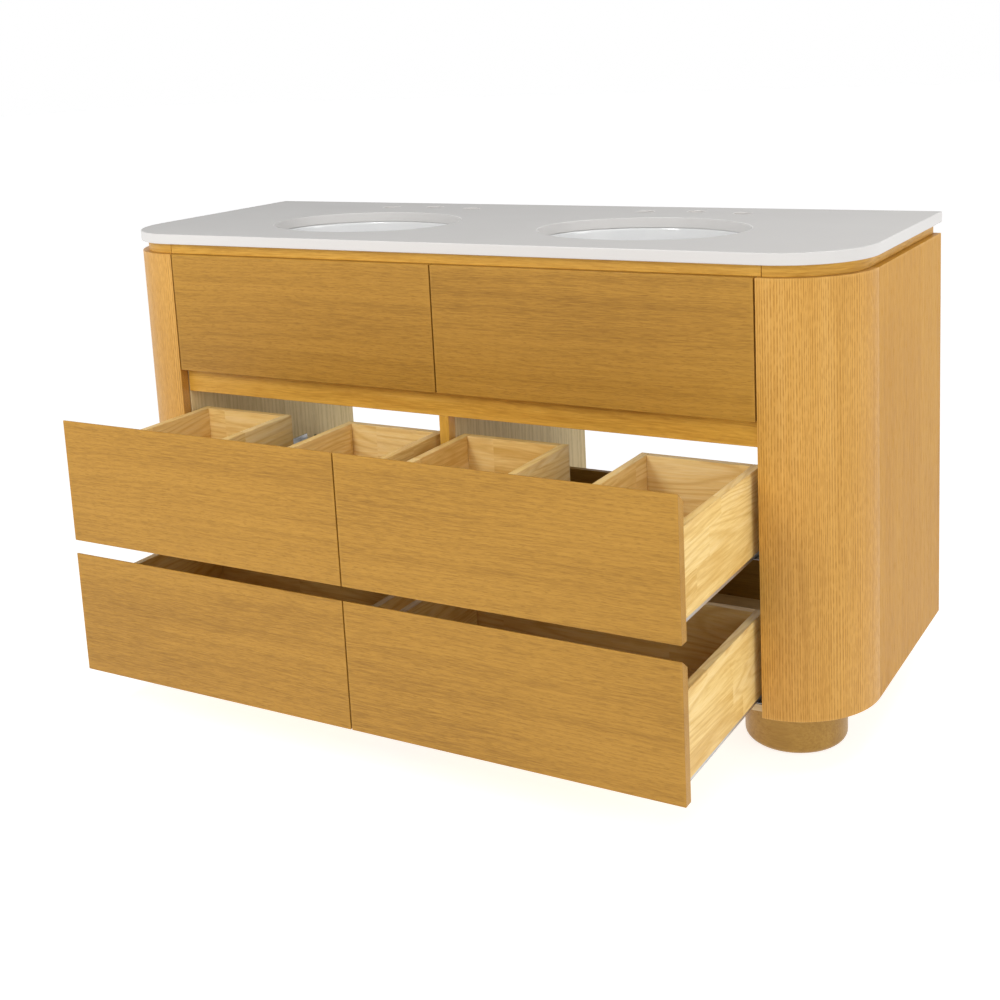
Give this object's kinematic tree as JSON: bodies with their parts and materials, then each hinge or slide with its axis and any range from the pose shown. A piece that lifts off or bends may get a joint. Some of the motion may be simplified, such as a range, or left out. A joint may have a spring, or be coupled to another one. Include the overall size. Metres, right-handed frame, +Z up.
{
  "type": "bathroom vanity cabinet",
  "caption": "Free-standing double-sink vanity cabinet with rounded front corners, drum feet, a stone top over undermount basins and handle-less drawers that slide on undermount runners.",
  "frame": {"origin": "on the floor, at the centre of the rectangle of the feet, which is the middle of the countertop's plan", "axes": "+X to the right as one faces the fronts, +Y towards the wall, +Z up"},
  "size_m": [1.524, 0.867, 0.864],
  "materials": {
    "quartz_top": "honed light grey engineered stone with a paler edge",
    "sink_glaze": "glossy white vitreous glaze",
    "zinc_steel": "bright zinc-plated steel",
    "black_plastic": "matte black moulded plastic",
    "solid_oak": "solid oak, honey stain, satin lacquer",
    "side_oak": "oak veneer with upright grain, honey stain, satin lacquer",
    "front_oak": "oak veneer with level grain, honey stain, satin lacquer",
    "foot_oak": "turned solid oak, honey stain, satin lacquer",
    "pale_liner": "pale laminate with fine upright grain",
    "pale_ply": "unstained plywood",
    "dark_back": "stained plywood",
    "box_wood": "clear-lacquered ash boards",
    "box_ply": "clear-lacquered plywood"
  },
  "bodies": {
    "cabinet": {"countertop": "quartz_top", "sink_left": "sink_glaze", "sink_right": "sink_glaze", "sink_clips": "zinc_steel", "neck_front": "solid_oak", "neck_corner_left": "solid_oak", "neck_corner_right": "solid_oak", "neck_side_left": "solid_oak", "neck_side_right": "solid_oak", "corner_panel_left": "side_oak", "corner_panel_right": "side_oak", "side_panel_left": "side_oak", "side_panel_right": "side_oak", "liner_left": "pale_liner", "liner_right": "pale_liner", "centre_partition": "pale_liner", "partition_edge": "solid_oak", "false_front_left": "front_oak", "false_front_right": "front_oak", "mid_rail": "solid_oak", "bottom_deck": "pale_ply", "back_panel_left": "dark_back", "back_panel_right": "dark_back", "rear_top_rail": "pale_ply", "foot_front_left": "foot_oak", "foot_front_right": "foot_oak", "foot_rear_left": "foot_oak", "foot_rear_right": "foot_oak", "foot_bolts": "zinc_steel", "slide_rails": "zinc_steel", "slide_hooks": "black_plastic"},
    "upper_left_drawer": {"upper_left_front": "front_oak", "upper_left_sides": "box_wood", "upper_left_gap_sides": "box_wood", "upper_left_cross_boards": "box_wood", "upper_left_base": "box_ply", "upper_left_runners": "zinc_steel"},
    "upper_left_slides": {"upper_left_slide_middle": "zinc_steel"},
    "upper_right_drawer": {"upper_right_front": "front_oak", "upper_right_sides": "box_wood", "upper_right_gap_sides": "box_wood", "upper_right_cross_boards": "box_wood", "upper_right_base": "box_ply", "upper_right_runners": "zinc_steel"},
    "upper_right_slides": {"upper_right_slide_middle": "zinc_steel"},
    "lower_left_drawer": {"lower_left_front": "front_oak", "lower_left_sides": "box_wood", "lower_left_cross_boards": "box_wood", "lower_left_base": "box_ply", "lower_left_runners": "zinc_steel"},
    "lower_left_slides": {"lower_left_slide_middle": "zinc_steel"},
    "lower_right_drawer": {"lower_right_front": "front_oak", "lower_right_sides": "box_wood", "lower_right_cross_boards": "box_wood", "lower_right_base": "box_ply", "lower_right_runners": "zinc_steel"},
    "lower_right_slides": {"lower_right_slide_middle": "zinc_steel"}
  },
  "joints": [
    {"name": "upper_left_slide", "type": "slide", "parent": "cabinet", "child": "upper_left_drawer", "axis": [0, -1, 0], "range_m": [-0.31, 0.04]},
    {"name": "upper_left_middle_slide", "type": "slide", "parent": "cabinet", "child": "upper_left_slides", "axis": [0, -1, 0], "range_m": [-0.155, 0.02]},
    {"name": "upper_right_slide", "type": "slide", "parent": "cabinet", "child": "upper_right_drawer", "axis": [0, -1, 0], "range_m": [-0.31, 0.04]},
    {"name": "upper_right_middle_slide", "type": "slide", "parent": "cabinet", "child": "upper_right_slides", "axis": [0, -1, 0], "range_m": [-0.155, 0.02]},
    {"name": "lower_left_slide", "type": "slide", "parent": "cabinet", "child": "lower_left_drawer", "axis": [0, -1, 0], "range_m": [-0.31, 0.04]},
    {"name": "lower_left_middle_slide", "type": "slide", "parent": "cabinet", "child": "lower_left_slides", "axis": [0, -1, 0], "range_m": [-0.155, 0.02]},
    {"name": "lower_right_slide", "type": "slide", "parent": "cabinet", "child": "lower_right_drawer", "axis": [0, -1, 0], "range_m": [-0.31, 0.04]},
    {"name": "lower_right_middle_slide", "type": "slide", "parent": "cabinet", "child": "lower_right_slides", "axis": [0, -1, 0], "range_m": [-0.155, 0.02]}
  ],
  "couplings": [
    {"joint": "upper_left_middle_slide", "follows": "upper_left_slide", "ratio": 0.5},
    {"joint": "upper_right_middle_slide", "follows": "upper_right_slide", "ratio": 0.5},
    {"joint": "lower_left_middle_slide", "follows": "lower_left_slide", "ratio": 0.5},
    {"joint": "lower_right_middle_slide", "follows": "lower_right_slide", "ratio": 0.5}
  ]
}
